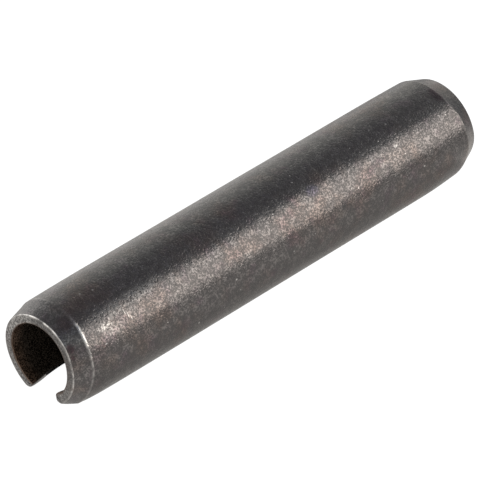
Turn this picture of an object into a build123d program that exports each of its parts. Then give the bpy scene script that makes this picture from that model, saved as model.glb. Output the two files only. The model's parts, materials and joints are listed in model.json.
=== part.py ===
from build123d import *
import os
from math import asin, cos, degrees, sin

# Slotted spring pin: a strip of spring steel rolled into an open tube, one piece.
# It lies as it comes to rest: X runs along the pin, and the slot faces down on its two lips.
# The origin is the middle of the pin's axis.

# Driving dimensions in millimetres, of the free pin before it is driven into its hole
pin_length = 32.0
body_diameter = 6.45
wall_thickness = 1.0
chamfer_length = 1.2
end_diameter = 5.54

# The slot is measured across its two inner corners. Pressing the chamfers brings the lips closer
# together there, each by lip_pinch at the end faces.
slot_gap = 2.3
lip_pinch = 0.2

# The barrel draws in a little towards each end
draw_in_length = 4.2
draw_in_depth = 0.04

# Roundings: the lips' outer corners as shares of the wall they stand in, the shoulders where the
# chamfers begin, and the broken edges of the end faces
lip_rounding_share = 0.6
end_lip_rounding_share = 0.7
shoulder_rounding = 0.3
rim_rounding = 0.06

# The lips' roundings meet the barrel this many degrees short of flush
runout_angle = 6

# Sizes that follow
body_radius = body_diameter / 2
bore_radius = body_radius - wall_thickness
neck_radius = body_radius - draw_in_depth
end_radius = end_diameter / 2
end_x = pin_length / 2
shoulder_x = end_x - chamfer_length
straight_x = shoulder_x - draw_in_length
slot_half_angle = asin(slot_gap / 2 / bore_radius)
lip_rounding = lip_rounding_share * wall_thickness
end_lip_rounding = end_lip_rounding_share * (end_radius - bore_radius)


def slot_cutter(outer_radius, rounding, pinch):
    """The slot's section. Its sides point at the axis, as a strip's square-cut edges do, and flare
    into the lips' outer roundings. A pinch shifts both sides towards the middle."""
    reach = outer_radius - rounding
    turn = slot_half_angle + asin((rounding - pinch) / reach)
    centre = Vector(reach * sin(turn), -reach * cos(turn))
    side_end = centre - Vector(cos(slot_half_angle), sin(slot_half_angle)) * rounding
    apex = Vector(0, -pinch / sin(slot_half_angle))
    sweep = 90 + degrees(turn - slot_half_angle) - runout_angle
    with BuildLine() as outline:
        side = Line(apex, side_end)
        lip = JernArc(side @ 1, side % 1, rounding, sweep)
        runout = Line(lip @ 1, lip @ 1 + lip % 1 * outer_radius)
        Line(runout @ 1, (0, -2 * body_diameter))
        mirror(about=Plane.YZ)
    make_face(outline.edges())


with BuildPart() as spring_pin:
    # One end's upper section, mirrored to the other end and turned about the axis
    with BuildSketch(Plane.XZ) as half_section:
        with BuildLine():
            crown = Line((0, body_radius), (straight_x, body_radius))
            draw_in = TangentArc(crown @ 1, (shoulder_x, neck_radius), tangent=crown % 1)
            cone = Line(draw_in @ 1, (end_x, end_radius))
            end_face = Line(cone @ 1, (end_x, bore_radius))
            bore_line = Line(end_face @ 1, (0, bore_radius))
            Line(bore_line @ 1, crown @ 0)
        make_face()
        shoulder, outer_rim, inner_rim = half_section.vertices().sort_by(Axis.X)[-3:]
        fillet(shoulder, shoulder_rounding)
        fillet([outer_rim, inner_rim], rim_rounding)
        mirror(about=Plane.YZ)
    revolve(axis=Axis.X)

    # The slot between the shoulders, then narrowing to each end face
    with BuildSketch(Plane.YZ):
        slot_cutter(neck_radius, lip_rounding, 0)
    extrude(amount=shoulder_x, both=True, mode=Mode.SUBTRACT)
    for side in (-1, 1):
        with BuildSketch(Plane.YZ.offset(side * shoulder_x)):
            slot_cutter(neck_radius, lip_rounding, 0)
        with BuildSketch(Plane.YZ.offset(side * end_x)):
            slot_cutter(end_radius, end_lip_rounding, lip_pinch)
        loft(ruled=True, mode=Mode.SUBTRACT)

spring_pin.part.label = "spring_pin"
os.makedirs("parts", exist_ok=True)
export_step(spring_pin.part, "parts/spring_pin.step")
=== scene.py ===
"""Looks of a slotted spring pin: a dense mesh of its steel, the finish, floor, light and camera."""
import json
import math
import bpy
import numpy as np
from mathutils import Matrix, Vector


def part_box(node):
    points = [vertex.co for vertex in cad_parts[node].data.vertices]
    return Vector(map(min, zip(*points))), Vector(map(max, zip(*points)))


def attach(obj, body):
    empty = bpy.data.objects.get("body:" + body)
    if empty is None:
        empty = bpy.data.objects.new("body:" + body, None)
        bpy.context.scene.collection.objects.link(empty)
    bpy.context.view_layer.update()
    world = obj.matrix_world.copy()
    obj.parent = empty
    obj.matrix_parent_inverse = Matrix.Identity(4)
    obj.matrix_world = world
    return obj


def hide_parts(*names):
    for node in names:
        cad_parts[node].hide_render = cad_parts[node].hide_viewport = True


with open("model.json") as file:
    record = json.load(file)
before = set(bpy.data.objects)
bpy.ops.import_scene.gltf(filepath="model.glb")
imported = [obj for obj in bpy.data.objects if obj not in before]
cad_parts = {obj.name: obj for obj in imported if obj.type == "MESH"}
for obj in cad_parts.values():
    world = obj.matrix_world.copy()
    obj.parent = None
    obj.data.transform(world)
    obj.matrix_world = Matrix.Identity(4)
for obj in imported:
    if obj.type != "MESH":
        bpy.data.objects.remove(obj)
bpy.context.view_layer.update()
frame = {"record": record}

# Sizes taken from the frame, in metres; X runs along the pin and the slot faces down
MM = 0.001
low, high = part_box("spring_pin")
mounts = {mount["name"]: mount for mount in frame["record"]["mounts"]}
END_X = (high.x - low.x) / 2
BODY_RADIUS = (high.y - low.y) / 2
BORE_RADIUS = mounts["bore"]["dims"]["r_mm"] * MM
STRAIGHT_X = mounts["shank"]["dims"]["length_mm"] * MM / 2

# Sizes of the pin's form that the frame doesn't name
SLOT_GAP = 2.3 * MM
LIP_PINCH = 0.2 * MM
LIP_PINCH_LENGTH = 1.7 * MM
CHAMFER_LENGTH = 1.2 * MM
SHOULDER_X = END_X - CHAMFER_LENGTH
END_RADIUS = 2.77 * MM
DRAW_IN_DEPTH = 0.04 * MM
NECK_RADIUS = BODY_RADIUS - DRAW_IN_DEPTH
SHOULDER_ROUNDING = 0.3 * MM
RIM_ROUNDING = 0.06 * MM
CORNER_ROUNDING = 0.12 * MM
LIP_ROUNDING = 0.68 * MM
END_LIP_ROUNDING = 0.4 * MM
END_LIP_BLEND = (END_X - 2.6 * MM, END_X - 0.9 * MM)
# The lip and corner roundings shrink towards the middle of the end faces, down to these
LEAST_LIP = 0.01 * MM
LEAST_CORNER = 0.005 * MM
# Where the pressed lips would reach below the pin's stand they end in a flat with a soft edge
STAND_LIFT = 0.006 * MM
STAND = -low.z - STAND_LIFT
STAND_EDGE = 0.04 * MM
# The barrel draws in along an arc: its radius, its slope at the shoulder and the chamfer's, in radians
DRAW_IN_LENGTH = SHOULDER_X - STRAIGHT_X
DRAW_IN_RADIUS = (DRAW_IN_LENGTH**2 + DRAW_IN_DEPTH**2) / (2 * DRAW_IN_DEPTH)
DRAW_IN_SLOPE = math.asin(DRAW_IN_LENGTH / DRAW_IN_RADIUS)
CHAMFER_SLOPE = math.atan2(NECK_RADIUS - END_RADIUS, CHAMFER_LENGTH)

# Mesh density; FACE_RINGS are the rings on an end face, as shares of half the wall
BODY_STEP = 0.35 * MM
SHOULDER_POINTS = 9
CONE_POINTS = 13
RIM_POINTS = 7
FACE_RINGS = (0.4, 0.6, 0.8)
ARC_POINTS = 150
LIP_POINTS = 14
SLOT_SIDE_POINTS = 8
CORNER_POINTS = 5


def smooth(value, start, stop):
    """0 below start, 1 above stop, and an S curve between them."""
    share = np.clip((value - start) / (stop - start), 0, 1)
    return share * share * (3 - 2 * share)


# A ring on the barrel this far before each shoulder, where the wear of its edge ends
WEAR_MARGIN = 0.05 * MM


def outer_profile():
    """(x, radius, edge) of half the outer outline, from the middle to the rim. edge is 1 if crisp."""
    setback = SHOULDER_ROUNDING * math.tan((CHAMFER_SLOPE - DRAW_IN_SLOPE) / 2)
    points = [(x, BODY_RADIUS, 0.0) for x in np.arange(0, STRAIGHT_X, BODY_STEP)]
    for x in np.arange(STRAIGHT_X, SHOULDER_X - setback - BODY_STEP / 2, BODY_STEP):
        drop = DRAW_IN_RADIUS - math.sqrt(DRAW_IN_RADIUS**2 - (x - STRAIGHT_X) ** 2)
        points.append((x, BODY_RADIUS - drop, 0.0))
    start_x = SHOULDER_X - setback * math.cos(DRAW_IN_SLOPE)
    start_r = NECK_RADIUS + setback * math.sin(DRAW_IN_SLOPE)
    points.append((start_x - WEAR_MARGIN, start_r + WEAR_MARGIN * math.tan(DRAW_IN_SLOPE), 0.0))
    for turn in np.linspace(0, 1, SHOULDER_POINTS):
        slope = DRAW_IN_SLOPE + (CHAMFER_SLOPE - DRAW_IN_SLOPE) * turn
        x = start_x + SHOULDER_ROUNDING * (math.sin(slope) - math.sin(DRAW_IN_SLOPE))
        radius = start_r - SHOULDER_ROUNDING * (math.cos(DRAW_IN_SLOPE) - math.cos(slope))
        points.append((x, radius, 0.5 + 0.5 * math.sin(math.pi * turn)))
    cone_x, cone_r, _ = points[-1]
    for x in np.linspace(cone_x, END_X - RIM_ROUNDING, CONE_POINTS)[1:]:
        points.append((x, cone_r - (x - cone_x) * math.tan(CHAMFER_SLOPE), 0.0))
    return points


def stations():
    """(x, outer radius, inset, edge) of every section from one end of the pin to the other."""
    half = [(x, radius, 0.0, edge) for x, radius, edge in outer_profile()]
    rim_x, rim_r = half[-1][:2]
    for turn in np.linspace(0, math.pi / 2, RIM_POINTS)[1:]:
        x = rim_x + RIM_ROUNDING * math.sin(turn)
        radius = rim_r - (x - rim_x) * math.tan(CHAMFER_SLOPE)
        half.append((x, radius, RIM_ROUNDING * (1 - math.cos(turn)), 1.0))
    face_radius = half[-1][1]
    half_wall = (face_radius - BORE_RADIUS) / 2
    for share in FACE_RINGS:
        half.append((END_X, face_radius, RIM_ROUNDING + (half_wall - RIM_ROUNDING) * share, 0.0))
    mirrored = [(-x, radius, inset, edge) for x, radius, inset, edge in half[:0:-1]]
    return mirrored + half


def arc(centre, radius, start, stop, count):
    """Points of an arc; angles are measured from straight down, towards +Y."""
    angles = np.linspace(start, stop, count)
    return [(centre[0] + radius * math.sin(a), centre[1] - radius * math.cos(a)) for a in angles]


def half_section(x, outer, inset):
    """(y, z, edge) points of the +Y side, from the barrel's top over the lip to the bore's top."""
    gap_angle = math.asin(SLOT_GAP / 2 / BORE_RADIUS)
    pressed = max(1 - (END_X - abs(x)) / LIP_PINCH_LENGTH, 0)
    pinch = LIP_PINCH * smooth(pressed, 0, 1)
    lip = LIP_ROUNDING + (END_LIP_ROUNDING - LIP_ROUNDING) * smooth(abs(x), *END_LIP_BLEND)
    lip = max(lip - inset, LEAST_LIP)
    corner = max(CORNER_ROUNDING - inset, LEAST_CORNER)
    rim, bore = outer - inset, BORE_RADIUS + inset
    lip_reach, corner_reach = rim - lip, bore + corner
    lip_angle = gap_angle + math.asin((inset + lip - pinch) / lip_reach)
    corner_angle = gap_angle + math.asin((inset + corner - pinch) / corner_reach)
    lip_centre = (lip_reach * math.sin(lip_angle), -lip_reach * math.cos(lip_angle))
    corner_centre = (corner_reach * math.sin(corner_angle), -corner_reach * math.cos(corner_angle))
    side = gap_angle - math.pi / 2
    barrel = arc((0, 0), rim, math.pi, lip_angle, ARC_POINTS)
    barrel += arc(lip_centre, lip, lip_angle, side, LIP_POINTS)[1:]
    nose = arc(corner_centre, corner, side, corner_angle - math.pi, CORNER_POINTS)
    (start_y, start_z), (stop_y, stop_z) = barrel[-1], nose[0]
    for share in np.linspace(0, 1, SLOT_SIDE_POINTS)[1:-1]:
        barrel.append((start_y + (stop_y - start_y) * share, start_z + (stop_z - start_z) * share))
    wall = arc((0, 0), bore, corner_angle, math.pi, ARC_POINTS)[1:]
    return [(y, z, edge) for line, edge in ((barrel, 0.0), (nose, 1.0), (wall, 0.0)) for y, z in line]


def full_section(x, outer, inset):
    """The closed section: the +Y half, then its mirror image back to the start."""
    half = half_section(x, outer, inset)
    mirrored = [(-y, z, edge) for y, z, edge in half[-2:0:-1]]
    return half + mirrored


def angle_from_top(y, z):
    """The angle of each point in degrees, from the top towards -Y."""
    return np.degrees(np.arctan2(-y, z))


def by_angle(table, y, z):
    """The value that a table gives at the angle of each point."""
    angles, values = zip(*table)
    return np.interp(angle_from_top(y, z), angles, values)


# How far the pressed -X end is bent towards +Y at its face, in mm, by the angle in degrees from the
# top towards -Y: the +Y wall bulges out a little and the -Y lip is curled in
END_BEND = (
    (-180, 0), (-150, 0), (-120, 0.05), (-90, 0.12), (-60, 0.12), (-30, 0.05), (0, 0), (30, 0),
    (50, 0.06), (70, 0.13), (90, 0.17), (120, 0.2), (180, 0.2),
)
# Over which length the -Y side bends, and by which share of its bend it sinks too
CURL_LENGTH = 2.3 * MM
CURL_DROP = 0.1
# The inner corner of the curled lip is thick: how far it is lifted and set back, and over which
# angles and which part of the wall
NOSE_LIFT = 0.15 * MM
NOSE_SETBACK = 0.09 * MM
NOSE_ANGLES = (128, 146)
NOSE_CORNER = (146, 153)
NOSE_WALL = 0.35 * MM
# The same bend at the +X end: its -Y lip is curled in too, over a longer stretch
FAR_BEND = ((85, 0), (95, 0.035), (105, 0.1), (115, 0.16), (125, 0.19), (180, 0.19))
FAR_BEND_LENGTH = 3.8 * MM


def end_bend(x, y, z):
    """How far the bent ends are moved in Y and Z at each point, fading out along the barrel."""
    degrees = angle_from_top(y, z)
    fade = smooth(-x, SHOULDER_X, END_X)
    curl_fade = smooth(-x, END_X - CURL_LENGTH, END_X)
    reach = np.where(y < 0, curl_fade, fade) * by_angle(END_BEND, y, z) * MM
    nose = fade * smooth(degrees, *NOSE_ANGLES)
    nose *= 1 - smooth(np.hypot(y, z), BORE_RADIUS, BORE_RADIUS + NOSE_WALL)
    move_y = reach - NOSE_SETBACK * nose * smooth(degrees, *NOSE_CORNER)
    move_z = NOSE_LIFT * nose - np.where(y < 0, CURL_DROP * reach, 0)
    move_y += smooth(x, END_X - FAR_BEND_LENGTH, END_X) * by_angle(FAR_BEND, y, z) * MM
    return move_y, move_z


# How far the -X and the +X shoulder run towards their end faces, in mm, by the same angle: the
# chamfers are narrower on the -Y side. It fades out along the barrel over SHIFT_LENGTH
NEAR_SHIFT = ((40, 0), (65, 0.07), (90, 0.11), (115, 0.27), (140, 0.5), (180, 0.53))
FAR_SHIFT = (
    (20, 0), (40, 0.07), (52, 0.22), (65, 0.28), (90, 0.28), (110, 0.22), (130, 0.15), (180, 0.1),
)
SHIFT_LENGTH = 3 * MM


def shoulder_shift(x, y, z):
    """How far each point near an end is moved along X."""
    places = (SHOULDER_X - SHIFT_LENGTH, SHOULDER_X, END_X)
    near, far = [np.interp(along, places, (0, 1, 0)) for along in (-x, x)]
    return (far * by_angle(FAR_SHIFT, y, z) - near * by_angle(NEAR_SHIFT, y, z)) * MM


# The barrel's waviness: its depth, and how many waves make it, how many turns each takes around (the
# last isn't reached) and its pitch along the pin in mm
WAVINESS = 0.006 * MM
WAVE_SEED = 7
WAVE_COUNT = 14
WAVE_TURNS = (1, 7)
WAVE_PITCH = (6, 22)


def waviness(x, angle):
    """How far the barrel dips below its true form, from rolling: always inwards, in metres."""
    rng = np.random.default_rng(WAVE_SEED)
    total = np.zeros_like(x)
    for _ in range(WAVE_COUNT):
        turns = rng.integers(*WAVE_TURNS)
        pitch = rng.uniform(*WAVE_PITCH) * MM
        phase = rng.uniform(0, 2 * math.pi, 2)
        total += np.cos(turns * angle + phase[0]) * np.cos(2 * math.pi * x / pitch + phase[1]) / turns
    return WAVINESS * (total / np.abs(total).max() + 1) / 2


def plain_points(rows):
    """The true form's points, and how crisp each one's edge is along its ring and round its lip."""
    points, edges = [], []
    for x, outer, inset, ring_edge in rows:
        for y, z, lip_edge in full_section(x, outer, inset):
            points.append((x, y, z))
            edges.append((ring_edge, lip_edge))
    return np.array(points), np.array(edges)


def finished_points(plain):
    """The same points with the waviness, the shifted shoulders, the bent ends and the lips' flats."""
    x, y, z = plain.T
    radius = np.hypot(y, z)
    scale = (radius - waviness(x, np.arctan2(y, z))) / radius
    y, z = y * scale, z * scale
    x = x + shoulder_shift(x, y, z)
    move_y, move_z = end_bend(x, y, z)
    y, z = y + move_y, z + move_z
    below = np.maximum(-z - STAND + STAND_EDGE, 0)
    z = z + (below - STAND_EDGE * (1 - np.exp(-below / STAND_EDGE)))
    return np.column_stack((x, y, z))


# How bright each edge is worn, by the angle in degrees from the top towards -Y: at the -X end the
# shoulder and the rim as photographed, partly wear and partly a painted highlight where these edges catch
# the light;
# at the other end and along the slot a faint even wear
SHOULDER_WEAR_AND_GLINT = (
    (-180, 0.1), (-44, 0.08), (-36, 0.18), (-18, 0.18), (-8, 0.06), (22, 0.05), (32, 0.2), (40, 1.0),
    (64, 1.0), (72, 0.4), (100, 0.25), (180, 0.08),
)
RIM_WEAR_AND_GLINT = (
    (-180, 0.3), (-120, 0.5), (-50, 0.5), (-30, 1.0), (-4, 0.9), (2, 0.3), (9, 0.3), (14, 1.0),
    (28, 1.0), (36, 0.35), (60, 0.3), (78, 0.5), (120, 0.4), (180, 0.2),
)
FAINT_WEAR = 0.08
# How bright the ground end faces are, by the same angle: their grinding, with a painted sheen that makes
# the upper back of the faces much lighter than their front
GROUND_FINISH_AND_SHEEN = (
    (-180, 1.0), (-120, 1.4), (-105, 1.2), (-90, 1.3), (-75, 1.5), (-60, 2.2), (-45, 2.8),
    (-30, 2.5), (-15, 2.0), (0, 0.75), (15, 0.65), (30, 0.8), (45, 0.85), (60, 0.4), (90, 0.45),
    (105, 0.6), (120, 0.9), (135, 1.5), (150, 1.0), (180, 0.6),
)
# How deep the brown of the bore's mouths reaches; it is partly their tint and partly painted light that
# falls in at the ends and fades towards the dark bore
MOUTH_LENGTH = 0.95 * MM


def point_masks(plain, edges, finished):
    """The values that the material reads at each point: worn edges and ground faces, partly painted
    sheen, bore and mouths.
    """
    x, y, z = plain.T
    ring_edge, lip_edge = edges.T
    radius = np.hypot(y, z)
    bore_edge = BORE_RADIUS + CORNER_ROUNDING
    on_shoulder = np.abs(x) < END_X - CHAMFER_LENGTH / 2
    # At the -X end the edges are worn most where they catch the light: partly wear, partly a painted
    # highlight
    near_wear_and_glint = np.where(on_shoulder, by_angle(SHOULDER_WEAR_AND_GLINT, y, z), by_angle(RIM_WEAR_AND_GLINT, y, z))
    wear_and_glint = np.where(x > 0, FAINT_WEAR, near_wear_and_glint) * (radius > bore_edge)
    return {
        "edge": np.maximum(ring_edge * wear_and_glint, FAINT_WEAR * lip_edge),
        "ground": np.where(np.abs(x) == END_X, by_angle(GROUND_FINISH_AND_SHEEN, y, z), 0),
        "bore": np.clip((bore_edge - radius) / CORNER_ROUNDING, 0, 1),
        "mouth": np.clip(1 - (END_X - np.abs(finished[:, 0])) / MOUTH_LENGTH, 0, 1),
    }


def cap(first, around, flip):
    """Faces that close an end: quads from the barrel side to the bore side, a polygon at each lip."""
    half = around // 2
    # The lip runs from the last point of the barrel's arc to the first of the bore's
    lip_end = ARC_POINTS + LIP_POINTS - 1 + SLOT_SIDE_POINTS - 2 + CORNER_POINTS
    lip = range(ARC_POINTS - 1, lip_end)
    faces = []
    for k in range(ARC_POINTS - 1):
        faces.append((k, half - k, half - k - 1, k + 1))
    faces.append(tuple(lip))
    for k in range(ARC_POINTS - 1):
        a, b = (around - k) % around, (around - k - 1) % around
        faces.append((a, b, half + k + 1, half + k))
    faces.append(tuple((around - k) % around for k in reversed(lip)))
    if flip:
        faces = [face[::-1] for face in faces]
    return [tuple(first + k for k in face) for face in faces]


def tube_faces(rings, around):
    """Quads between neighbouring sections, and the closed ends."""
    faces = []
    for first in range(0, (rings - 1) * around, around):
        for k in range(around):
            a, b = first + k, first + (k + 1) % around
            faces.append((a, b, b + around, a + around))
    return faces + cap(0, around, flip=False) + cap((rings - 1) * around, around, flip=True)


def build_pin():
    """The tube as one closed mesh, with a point attribute for each mask."""
    rows = stations()
    plain, edges = plain_points(rows)
    finished = finished_points(plain)
    mesh = bpy.data.meshes.new("pin_steel")
    mesh.from_pydata(finished.tolist(), [], tube_faces(len(rows), len(plain) // len(rows)))
    mesh.update()
    for name, values in point_masks(plain, edges, finished).items():
        mask = mesh.attributes.new(name, "FLOAT", "POINT")
        mask.data.foreach_set("value", values.astype(np.float32))
    mesh.shade_smooth()
    return mesh


# The share of a spot's half size within which it has its full strength
SPOT_CORE = 0.4


class Nodes:
    """Short ways to add and link shader nodes."""

    def __init__(self, tree):
        self.tree = tree
        self.tree.nodes.clear()

    def add(self, kind, **values):
        node = self.tree.nodes.new(kind)
        for name, value in values.items():
            setattr(node, name, value)
        return node

    def link(self, source, target):
        self.tree.links.new(source, target)

    def surface(self, kind, output="ShaderNodeOutputMaterial"):
        """The shader that the tree's output shows."""
        shader = self.add(kind)
        self.link(shader.outputs[0], self.add(output).inputs["Surface"])
        return shader

    def mask(self, name):
        """One of the mesh's point attributes."""
        return self.add("ShaderNodeAttribute", attribute_name=name).outputs["Fac"]

    def axes(self):
        """X, Y and Z of the generated coordinates."""
        parts = self.add("ShaderNodeSeparateXYZ")
        self.link(self.add("ShaderNodeTexCoord").outputs["Generated"], parts.inputs["Vector"])
        return [parts.outputs[axis] for axis in "XYZ"]

    def noise(self, vector, scale, detail, roughness=0.5):
        node = self.add("ShaderNodeTexNoise")
        node.inputs["Scale"].default_value = scale
        node.inputs["Detail"].default_value = detail
        node.inputs["Roughness"].default_value = roughness
        self.link(vector, node.inputs["Vector"])
        return node.outputs["Fac"]

    def spread(self, value, low_in, high_in, low_out=0.0, high_out=1.0):
        """An S curve from the low output to the high one, between the low and the high input."""
        node = self.add("ShaderNodeMapRange", interpolation_type="SMOOTHSTEP")
        limits = {"From Min": low_in, "From Max": high_in, "To Min": low_out, "To Max": high_out}
        for name, number in limits.items():
            node.inputs[name].default_value = number
        self.link(value, node.inputs["Value"])
        return node.outputs["Result"]

    def spot(self, place, centre, reach, strength):
        """A soft spot of a given strength round a point; reach is its half size along each axis."""
        offset = self.add("ShaderNodeVectorMath", operation="SUBTRACT")
        self.link(place, offset.inputs[0])
        offset.inputs[1].default_value = centre
        shape = self.add("ShaderNodeVectorMath", operation="DIVIDE")
        self.link(offset.outputs["Vector"], shape.inputs[0])
        shape.inputs[1].default_value = reach
        size = self.add("ShaderNodeVectorMath", operation="LENGTH")
        self.link(shape.outputs["Vector"], size.inputs[0])
        return self.spread(size.outputs["Value"], SPOT_CORE, 1.0, strength, 0.0)

    def spots(self, place, marks):
        """The strongest of several spots, each given as the marks of handling are."""
        total = None
        for x, degrees, along, across, strength in marks:
            angle = math.radians(degrees)
            radius = float(np.interp(abs(x) * MM, (SHOULDER_X, END_X), (BODY_RADIUS, END_RADIUS)))
            centre = (x * MM, -radius * math.sin(angle), radius * math.cos(angle))
            value = self.spot(place, centre, (along * MM, across * MM, across * MM), strength)
            total = value if total is None else self.math("MAXIMUM", total, value)
        return total

    def math(self, operation, first, second=0.0):
        node = self.add("ShaderNodeMath", operation=operation)
        for socket, value in zip(node.inputs, (first, second)):
            if isinstance(value, (int, float)):
                socket.default_value = value
            else:
                self.link(value, socket)
        return node.outputs["Value"]

    def between(self, share, first, second):
        """A number that goes evenly from the first to the second."""
        return self.math("ADD", self.math("MULTIPLY", share, second - first), first)

    def ramp(self, share, stops):
        """A colour ramp of (place, colour) stops."""
        node = self.add("ShaderNodeValToRGB")
        self.link(share, node.inputs["Fac"])
        elements = node.color_ramp.elements
        while len(elements) < len(stops):
            elements.new(0.5)
        for element, (position, colour) in zip(elements, stops):
            element.position = position
            element.color = (*colour, 1.0)
        return node.outputs["Color"]

    def mix(self, share, first, second, blend="MIX"):
        """From the first colour to the second; each is a tuple or a socket."""
        node = self.add("ShaderNodeMix", data_type="RGBA", blend_type=blend)
        self.link(share, node.inputs["Factor"])
        for socket, value in zip(("A", "B"), (first, second)):
            target = next(s for s in node.inputs if s.name == socket and s.type == "RGBA")
            if isinstance(value, tuple):
                target.default_value = (*value, 1.0)
            else:
                self.link(value, target)
        return next(s for s in node.outputs if s.type == "RGBA")

    def tint(self, share, first, second):
        """The first colour, multiplied by the second as far as the share says."""
        return self.mix(share, first, second, "MULTIPLY")


# The oxide's colour where a grain is dull and where it shines, and how much of it is diffuse there
DULL_OXIDE = (0.0392, 0.0367, 0.0361)
BRIGHT_OXIDE = (0.135, 0.1258, 0.1234)
DULL_DIFFUSE = 0.0245
BRIGHT_DIFFUSE = 0.0145
# What the coarser mottling adds to the fine grain's shine, and what is taken off their sum
MOTTLE_SHARE = 0.36
SHINE_OFFSET = 0.42
OXIDE_IOR = 1.5
OXIDE_SPECULAR_TINT = (1.0, 0.98, 0.97)

# Colours that multiply the oxide's, and the colours of the bore, of its mouths with their painted light,
# and of bare steel, which also carries the painted highlights
DARK_MOTTLE = (0.87, 0.86, 0.87)
BROWN_STAIN = (1.12, 0.98, 0.91)
VIOLET_STAIN = (1.02, 0.88, 1.0)
DARK_STAIN = (0.52, 0.36, 0.44)
BLUE_STAIN = (0.92, 0.94, 1.2)
BORE_STEEL = (0.034, 0.026, 0.020)
MOUTH_BROWN_AND_PAINTED_LIGHT = (0.100, 0.062, 0.042)
BARE_STEEL_AND_GLINT = (0.66, 0.63, 0.60)

# The noises of the surface: scale per metre, detail and, where it isn't 0.5, roughness
NOISES = {
    "grain": (7800, 1.0),
    "sparkle": (9800, 1.0),
    "mottle": (2400, 2.0, 0.6),
    "fleck": (7000, 0.0),
    "coarse": (3600, 2.0),
    "stain": (420, 4.0, 0.6),
    "patch": (900, 3.0, 0.6),
}
# Between which values of its noise each effect grows, and from what to what if not from 0 to 1
SPARKLE_SPAN = (0.36, 0.64)
MOTTLE_SPAN = (0.38, 0.64)
BROWN_SPAN = (0.45, 0.7)
VIOLET_SPAN = (0.5, 0.8)
WORN_AND_GLINT_SPAN = (0.35, 0.6, 0.35, 1.0)
SPECK_SPAN = (0.85, 0.89, 0.0, 0.4)
GROUND_SPAN = (0.3, 0.8, 0.04, 0.34)
STREAK_SPAN = (0.4, 0.6)
ROUGHNESS_SPAN = (0.3, 0.7, 0.20, 0.30)
RELIEF_SPAN = (0.3, 0.5)

# The relief's depth, and how much the shallow dents of rolling count in it beside the fine grain
RELIEF_DEPTH = 0.005 * MM
DENT_SHARE = 2.5

# Marks of handling: the place along X in mm, the angle from the top towards -Y in degrees, the half
# size along and across in mm, and the strength. Nicks and the scratch shine, and scuffs in streaks; the
# scuffs near the -X end also make the highlight there brighter and wider, a painted highlight
NICKS = (
    (9.94, 47.5, 0.19, 0.12, 0.3), (12.47, -10.7, 0.15, 0.12, 0.16), (10.41, 21.9, 0.08, 0.08, 0.26),
    (11.36, 81.9, 0.08, 0.08, 0.34), (-13.2, 10.3, 0.08, 0.08, 0.24), (-12.43, 14.2, 0.08, 0.08, 0.24),
    (-3.93, 82.1, 0.08, 0.08, 0.38), (-13.71, 69.0, 0.13, 0.07, 0.38), (-13.1, 53.3, 0.16, 0.09, 0.42),
    (-13.45, 55.0, 0.1, 0.06, 0.3),
)
# The scratch runs aslant, as a row of narrow spots
SCRATCH = (
    (-12.03, 41.5, 0.05, 0.24, 0.12), (-11.91, 46.0, 0.05, 0.24, 0.14), (-11.78, 50.5, 0.05, 0.24, 0.2),
    (-11.65, 55.0, 0.05, 0.24, 0.28), (-11.53, 59.0, 0.05, 0.2, 0.3),
)
# Scuffs, and a painted highlight that brightens the highlight band near the -X end and widens it upwards
SCUFFS_AND_SHEEN = (
    (-13.3, 53.5, 0.75, 0.3, 0.26), (-13.0, 61.0, 0.9, 0.35, 0.1), (-12.6, 48.0, 0.8, 0.3, 0.09),
    (-11.0, 41.0, 3.5, 0.5, 0.1),
)
DARK_STAINS = (
    (14.65, 22.0, 0.5, 0.75, 0.7), (-15.75, 56.0, 0.3, 0.4, 0.9), (-15.8, 67.0, 0.2, 0.3, 0.8),
    (-15.3, 30.0, 0.5, 0.6, 0.3),
)
BLUE_STAINS = ((3.3, 43.0, 0.6, 0.45, 1.0),)


def oxide_shine(tree, noise, dull_spots):
    """How much each grain of the oxide shines, from 0 to 1."""
    bright_spots = tree.math("MULTIPLY", tree.math("SUBTRACT", 1.0, dull_spots), MOTTLE_SHARE)
    shine = tree.math("ADD", tree.spread(noise["sparkle"], *SPARKLE_SPAN), bright_spots)
    shine = tree.math("SUBTRACT", shine, SHINE_OFFSET)
    return tree.math("MINIMUM", tree.math("MAXIMUM", shine, 0.0), 1.0)


def oxide_colour(tree, place, noise, shine, dull_spots):
    """The oxide's colour, with its mottling and stains."""
    colour = tree.mix(shine, DULL_OXIDE, BRIGHT_OXIDE)
    colour = tree.tint(dull_spots, colour, DARK_MOTTLE)
    colour = tree.tint(tree.spread(noise["stain"], *BROWN_SPAN), colour, BROWN_STAIN)
    colour = tree.tint(tree.spread(noise["patch"], *VIOLET_SPAN), colour, VIOLET_STAIN)
    colour = tree.tint(tree.spots(place, DARK_STAINS), colour, DARK_STAIN)
    return tree.tint(tree.spots(place, BLUE_STAINS), colour, BLUE_STAIN)


def oxide_metallic(tree, shine):
    """The metallic share that leaves the oxide its diffuse part."""
    diffuse = tree.between(shine, DULL_DIFFUSE, BRIGHT_DIFFUSE)
    oxide = tree.between(shine, DULL_OXIDE[0], BRIGHT_OXIDE[0])
    return tree.math("SUBTRACT", 1.0, tree.math("DIVIDE", diffuse, oxide))


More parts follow.
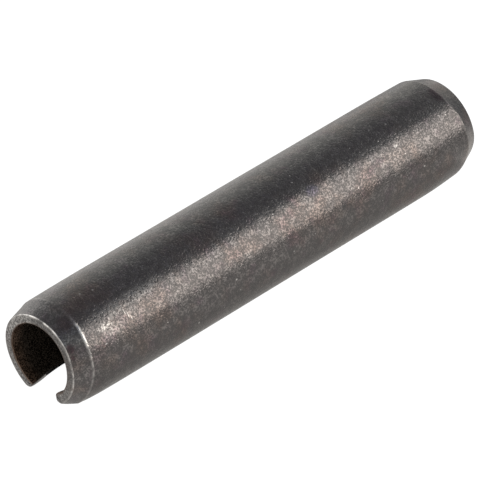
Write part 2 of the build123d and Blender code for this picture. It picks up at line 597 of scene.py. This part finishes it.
def bareness_and_sheen(tree, place, noise, mask):
    """How bare the steel is: specks, ground faces, worn edges and marks, partly painted sheen; nothing in
    the bore.
    """
    # Worn edges: partly wear, partly a painted highlight at the -X end
    worn_and_glinting = tree.math("MULTIPLY", mask["edge"], tree.spread(noise["coarse"], *WORN_AND_GLINT_SPAN))
    speck = tree.spread(noise["fleck"], *SPECK_SPAN)
    # Ground faces: their grinding, and a painted sheen that changes with the angle
    ground = tree.math("MULTIPLY", mask["ground"], tree.spread(noise["grain"], *GROUND_SPAN))
    # Scuffs, partly a painted highlight
    streaks = tree.math("MULTIPLY", tree.spots(place, SCUFFS_AND_SHEEN), tree.spread(noise["grain"], *STREAK_SPAN))
    marks = tree.math("MAXIMUM", tree.spots(place, NICKS + SCRATCH), streaks)
    bare_and_sheen = tree.math("MAXIMUM", tree.math("MAXIMUM", speck, ground), tree.math("MAXIMUM", worn_and_glinting, marks))
    return tree.math("MULTIPLY", tree.math("SUBTRACT", 1.0, mask["bore"]), bare_and_sheen)


def relief(tree, noise):
    """The fine grain and the shallow dents, as a bump."""
    height = tree.math("ADD", tree.spread(noise["grain"], *RELIEF_SPAN), noise["coarse"])
    height = tree.math("ADD", height, tree.math("MULTIPLY", noise["patch"], DENT_SHARE))
    bump = tree.add("ShaderNodeBump")
    bump.inputs["Strength"].default_value = 1.0
    bump.inputs["Distance"].default_value = RELIEF_DEPTH
    tree.link(height, bump.inputs["Height"])
    return bump.outputs["Normal"]


def steel_material():
    """Blackened spring steel: a dark satin oxide with a sparkling grain, stains and worn edges, painted
    sheen on some edges, faces and scuffs, and painted light in the bore's mouths.
    """
    material = bpy.data.materials.new("blackened_steel")
    material.use_nodes = True
    tree = Nodes(material.node_tree)
    shader = tree.surface("ShaderNodeBsdfPrincipled")
    shader.inputs["IOR"].default_value = OXIDE_IOR
    shader.inputs["Specular Tint"].default_value = (*OXIDE_SPECULAR_TINT, 1.0)
    place = tree.add("ShaderNodeTexCoord").outputs["Object"]
    noise = {name: tree.noise(place, *settings) for name, settings in NOISES.items()}
    mask = {name: tree.mask(name) for name in ("edge", "ground", "bore", "mouth")}
    dull_spots = tree.spread(noise["mottle"], *MOTTLE_SPAN)
    shine = oxide_shine(tree, noise, dull_spots)
    colour = oxide_colour(tree, place, noise, shine, dull_spots)
    # The bore's mouths: a brown tint, partly painted light falling in at the ends
    bore_colour = tree.mix(tree.spread(mask["mouth"], 0.0, 1.0), BORE_STEEL, MOUTH_BROWN_AND_PAINTED_LIGHT)
    colour = tree.mix(mask["bore"], colour, bore_colour)
    bare_and_sheen = bareness_and_sheen(tree, place, noise, mask)
    # Bare steel: real specks, wear and marks, and in places a painted highlight or sheen
    tree.link(tree.mix(bare_and_sheen, colour, BARE_STEEL_AND_GLINT), shader.inputs["Base Color"])
    tree.link(tree.math("MAXIMUM", oxide_metallic(tree, shine), bare_and_sheen), shader.inputs["Metallic"])
    tree.link(tree.spread(noise["coarse"], *ROUGHNESS_SPAN), shader.inputs["Roughness"])
    tree.link(relief(tree, noise), shader.inputs["Normal"])
    return material


def make_pin():
    """The one piece, which stands for the CAD solid."""
    pin = bpy.data.objects.new("pin_steel", build_pin())
    bpy.context.scene.collection.objects.link(pin)
    pin.data.materials.append(steel_material())
    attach(pin, "root")
    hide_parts("spring_pin")
    return pin


def flat_sheet(name, half_x, half_y, height):
    """A level rectangle in the scene, and the nodes of its material."""
    mesh = bpy.data.meshes.new(name)
    corners = ((-1, -1), (1, -1), (1, 1), (-1, 1))
    mesh.from_pydata([(x * half_x, y * half_y, height) for x, y in corners], [], [(0, 1, 2, 3)])
    sheet = bpy.data.objects.new(name, mesh)
    bpy.context.scene.collection.objects.link(sheet)
    material = bpy.data.materials.new(name)
    material.use_nodes = True
    mesh.materials.append(material)
    return sheet, Nodes(material.node_tree)


FLOOR_SIZE = 6.0
FLOOR_GLOW = 1.0
FLOOR_ALBEDO = (0.12, 0.12, 0.12)
FLOOR_ROUGHNESS = 0.9


def make_floor(height):
    """A white table top that glows evenly, as a light table does."""
    _, tree = flat_sheet("floor", FLOOR_SIZE / 2, FLOOR_SIZE / 2, height)
    shader = tree.surface("ShaderNodeBsdfPrincipled")
    shader.inputs["Base Color"].default_value = (*FLOOR_ALBEDO, 1.0)
    shader.inputs["Roughness"].default_value = FLOOR_ROUGHNESS
    shader.inputs["Specular IOR Level"].default_value = 0.0
    shader.inputs["Emission Color"].default_value = (1.0, 1.0, 1.0, 1.0)
    shader.inputs["Emission Strength"].default_value = FLOOR_GLOW


# The sheet that stands for the table in the pin's reflections: its half sizes in mm, and how far it
# lies above the table
SHADE_LENGTH = 200
SHADE_REACH = 60
SHADE_LIFT = 0.004 * MM
SHADE_TINT = (1.02, 1.0, 0.96)
# Its brightness beside the pin, by the distance in mm in front of the pin (-) or behind it
SHADE_STOPS = (
    (-60, 1.05), (-14, 1.16), (-9, 1.28), (-6, 1.06), (-4.8, 0.84), (-4, 0.72), (-3.4, 0.57),
    (-2.6, 0.55), (0, 0.45), (3, 0.5), (11, 0.6), (16, 0.72), (42, 1.22), (60, 1.22),
)
# The same beyond the pin's ends, and the distances at which one turns into the other, from a place
# on X a little off the pin's middle
END_SHADE_STOPS = (
    (-60, 1.05), (-14, 1.08), (-7, 1.2), (-5, 1.3), (-4, 1.3), (-2.6, 1.05), (-1.2, 0.6), (3, 0.5),
    (11, 0.48), (16, 0.62), (24, 0.85), (42, 1.15), (60, 1.22),
)
END_SHADE = (15.05, 15.9)
END_SHADE_MIDDLE = 0.45
# It is grey far to the +X side: how far along X in mm it gets so
FAR_TABLE = (0.45, 0.46, 0.48)
FAR_TABLE_EDGE = (20, 38)


def sheet_share(place, half_size):
    """A place measured from the middle of a sheet, as a share of the sheet's size."""
    return 0.5 + place / (2 * half_size)


def shade_ramp(tree, across, table):
    """The colour of the shade across the sheet, from a table of its brightness."""
    stops = []
    for place, value in table:
        stops.append((sheet_share(place, SHADE_REACH), tuple(value * part for part in SHADE_TINT)))
    return tree.ramp(across, stops)


def make_shade(height):
    """What the pin mirrors of the table: darker close to the pin. Only reflections see it."""
    shade, tree = flat_sheet("table_shade", SHADE_LENGTH * MM, SHADE_REACH * MM, height + SHADE_LIFT)
    emission = tree.surface("ShaderNodeEmission")
    x, y, _ = tree.axes()
    middle = sheet_share(END_SHADE_MIDDLE, SHADE_LENGTH)
    from_middle = tree.math("ABSOLUTE", tree.math("SUBTRACT", x, middle))
    past_end = tree.spread(from_middle, *(place / (2 * SHADE_LENGTH) for place in END_SHADE))
    far = tree.spread(x, *(sheet_share(place, SHADE_LENGTH) for place in FAR_TABLE_EDGE))
    colour = tree.mix(past_end, shade_ramp(tree, y, SHADE_STOPS), shade_ramp(tree, y, END_SHADE_STOPS))
    tree.link(tree.tint(far, colour, FAR_TABLE), emission.inputs["Color"])
    shade.visible_camera = shade.visible_diffuse = shade.visible_shadow = False


# The dark strip between the lips ends this far before the end faces. Its sides are under the middle
# of the wall, at this angle in degrees from straight down
SLOT_SHADOW_SETBACK = 1.5 * MM
SLOT_SHADOW_ANGLE = 40
SLOT_SHADOW_LIFT = 0.008 * MM
SLOT_SHADOW_COLOUR = (0.01, 0.01, 0.01)


def make_slot_shadow(height):
    """The dark strip of table between the two lips, which the light doesn't reach."""
    half_x = END_X - SLOT_SHADOW_SETBACK
    half_y = (BORE_RADIUS + BODY_RADIUS) / 2 * math.sin(math.radians(SLOT_SHADOW_ANGLE))
    strip, tree = flat_sheet("slot_shadow", half_x, half_y, height + SLOT_SHADOW_LIFT)
    shader = tree.surface("ShaderNodeBsdfDiffuse")
    shader.inputs["Color"].default_value = (*SLOT_SHADOW_COLOUR, 1.0)
    strip.visible_camera = False


# Brightness of the surroundings by the sine of the height above the horizon: towards +X a dark
# ceiling begins at about 50 degrees, elsewhere the white walls fade out higher up
SKY_STOPS = (
    (0.0, (1.10, 1.10, 1.05)), (0.25, (1.10, 1.10, 1.05)), (0.45, (1.15, 1.17, 1.12)),
    (0.53, (1.10, 1.14, 1.10)), (0.65, (0.82, 0.86, 0.84)), (0.74, (0.50, 0.53, 0.54)),
    (0.80, (0.18, 0.18, 0.24)), (1.0, (0.16, 0.16, 0.23)),
)
OPEN_SKY_STOPS = (
    (0.0, (1.4, 1.4, 1.36)), (0.27, (1.9, 1.9, 1.86)), (0.54, (1.6, 1.62, 1.6)),
    (0.77, (0.78, 0.80, 0.82)), (0.93, (0.44, 0.45, 0.47)), (1.0, (0.38, 0.39, 0.41)),
)
# How far towards +X the ceiling begins, and how much a place further back counts towards it
CEILING_EDGE = (-0.12, 0.08)
CEILING_SLANT = -0.6
# The upper part of the front is cooler: how far to the front and how high it begins
COOL_FRONT = (0.90, 1.0, 1.10)
COOL_FRONT_EDGE = (0.15, 0.45)
COOL_FRONT_FOOT = (0.45, 0.6)
# The wall straight in front is darker: how far to the front it begins
FRONT_WALL = (0.68, 0.68, 0.70)
FRONT_WALL_EDGE = (0.82, 0.97)
# A grey wall far to the +X side: how far towards +X and to the front and how high it begins
GREY_WALL = (0.39, 0.43, 0.47)
GREY_WALL_EDGE = (0.80, 0.93)
GREY_WALL_SIDE = (-0.45, 0.1)
GREY_WALL_FOOT = (-0.2, 0.0)


def make_surroundings():
    """White walls, over the +X side a dark ceiling, and the darker and cooler walls."""
    world = bpy.data.worlds.new("studio")
    bpy.context.scene.world = world
    world.use_nodes = True
    tree = Nodes(world.node_tree)
    background = tree.surface("ShaderNodeBackground", "ShaderNodeOutputWorld")
    x, y, z = tree.axes()
    forward = tree.math("MULTIPLY", y, -1.0)
    aslant = tree.math("ADD", x, tree.math("MULTIPLY", y, CEILING_SLANT))
    open_sky, covered_sky = tree.ramp(z, OPEN_SKY_STOPS), tree.ramp(z, SKY_STOPS)
    sky = tree.mix(tree.spread(aslant, *CEILING_EDGE), open_sky, covered_sky)
    cool = tree.math("MULTIPLY", tree.spread(forward, *COOL_FRONT_EDGE), tree.spread(z, *COOL_FRONT_FOOT))
    sky = tree.tint(cool, sky, COOL_FRONT)
    sky = tree.tint(tree.spread(forward, *FRONT_WALL_EDGE), sky, FRONT_WALL)
    wall = tree.math("MULTIPLY", tree.spread(x, *GREY_WALL_EDGE), tree.spread(forward, *GREY_WALL_SIDE))
    wall = tree.math("MULTIPLY", wall, tree.spread(z, *GREY_WALL_FOOT))
    tree.link(tree.tint(wall, sky, GREY_WALL), background.inputs["Color"])


SOFTBOX_DIRECTION = (0.57, -0.70, 0.375)
SOFTBOX_DISTANCE = 0.7
SOFTBOX_WIDTH = 0.50
SOFTBOX_HEIGHT = 0.49
SOFTBOX_RADIANCE = 3.78
SOFTBOX_COLOUR = (1.08, 1.0, 0.925)


def make_softbox():
    """The soft light that draws the broad band along the pin's front."""
    light = bpy.data.lights.new("softbox", "AREA")
    light.shape = "RECTANGLE"
    light.size, light.size_y = SOFTBOX_WIDTH, SOFTBOX_HEIGHT
    light.energy = SOFTBOX_RADIANCE * math.pi * SOFTBOX_WIDTH * SOFTBOX_HEIGHT
    light.color = SOFTBOX_COLOUR
    softbox = bpy.data.objects.new("softbox", light)
    bpy.context.scene.collection.objects.link(softbox)
    direction = Vector(SOFTBOX_DIRECTION).normalized()
    softbox.location = direction * SOFTBOX_DISTANCE
    softbox.rotation_mode = "QUATERNION"
    softbox.rotation_quaternion = direction.to_track_quat("Z", "Y")
    softbox.visible_camera = False


# The photograph's view, fitted to the pin's outline; angles in degrees
VIEW_AZIMUTH = -42.05
VIEW_ELEVATION = 32.1
VIEW_ROLL = -5.22
VIEW_DISTANCE = 283.58 * MM
VIEW_AIM = (-0.488 * MM, 0.056 * MM, 0.054 * MM)
LENS_MM = 375.5
SENSOR_MM = 36.0
CLIP_START = 0.01
CLIP_END = 20


def make_camera():
    """The photograph's view: a long lens from the front left, a little above."""
    azimuth, elevation = math.radians(VIEW_AZIMUTH), math.radians(VIEW_ELEVATION)
    back = Vector((
        math.sin(azimuth) * math.cos(elevation),
        -math.cos(azimuth) * math.cos(elevation),
        math.sin(elevation),
    ))
    data = bpy.data.cameras.new("camera")
    data.lens = LENS_MM
    data.sensor_width = SENSOR_MM
    data.clip_start, data.clip_end = CLIP_START, CLIP_END
    camera = bpy.data.objects.new("camera", data)
    bpy.context.scene.collection.objects.link(camera)
    turn = back.to_track_quat("Z", "Y").to_matrix() @ Matrix.Rotation(math.radians(VIEW_ROLL), 3, "Z")
    camera.matrix_world = Matrix.Translation(Vector(VIEW_AIM) + back * VIEW_DISTANCE) @ turn.to_4x4()
    bpy.context.scene.camera = camera


pin = make_pin()
table_height = min(vertex.co.z for vertex in pin.data.vertices)
make_floor(table_height)
make_shade(table_height)
make_slot_shadow(table_height)
make_surroundings()
make_softbox()
make_camera()
bpy.context.scene.view_settings.view_transform = "Standard"
bpy.context.view_layer.update()
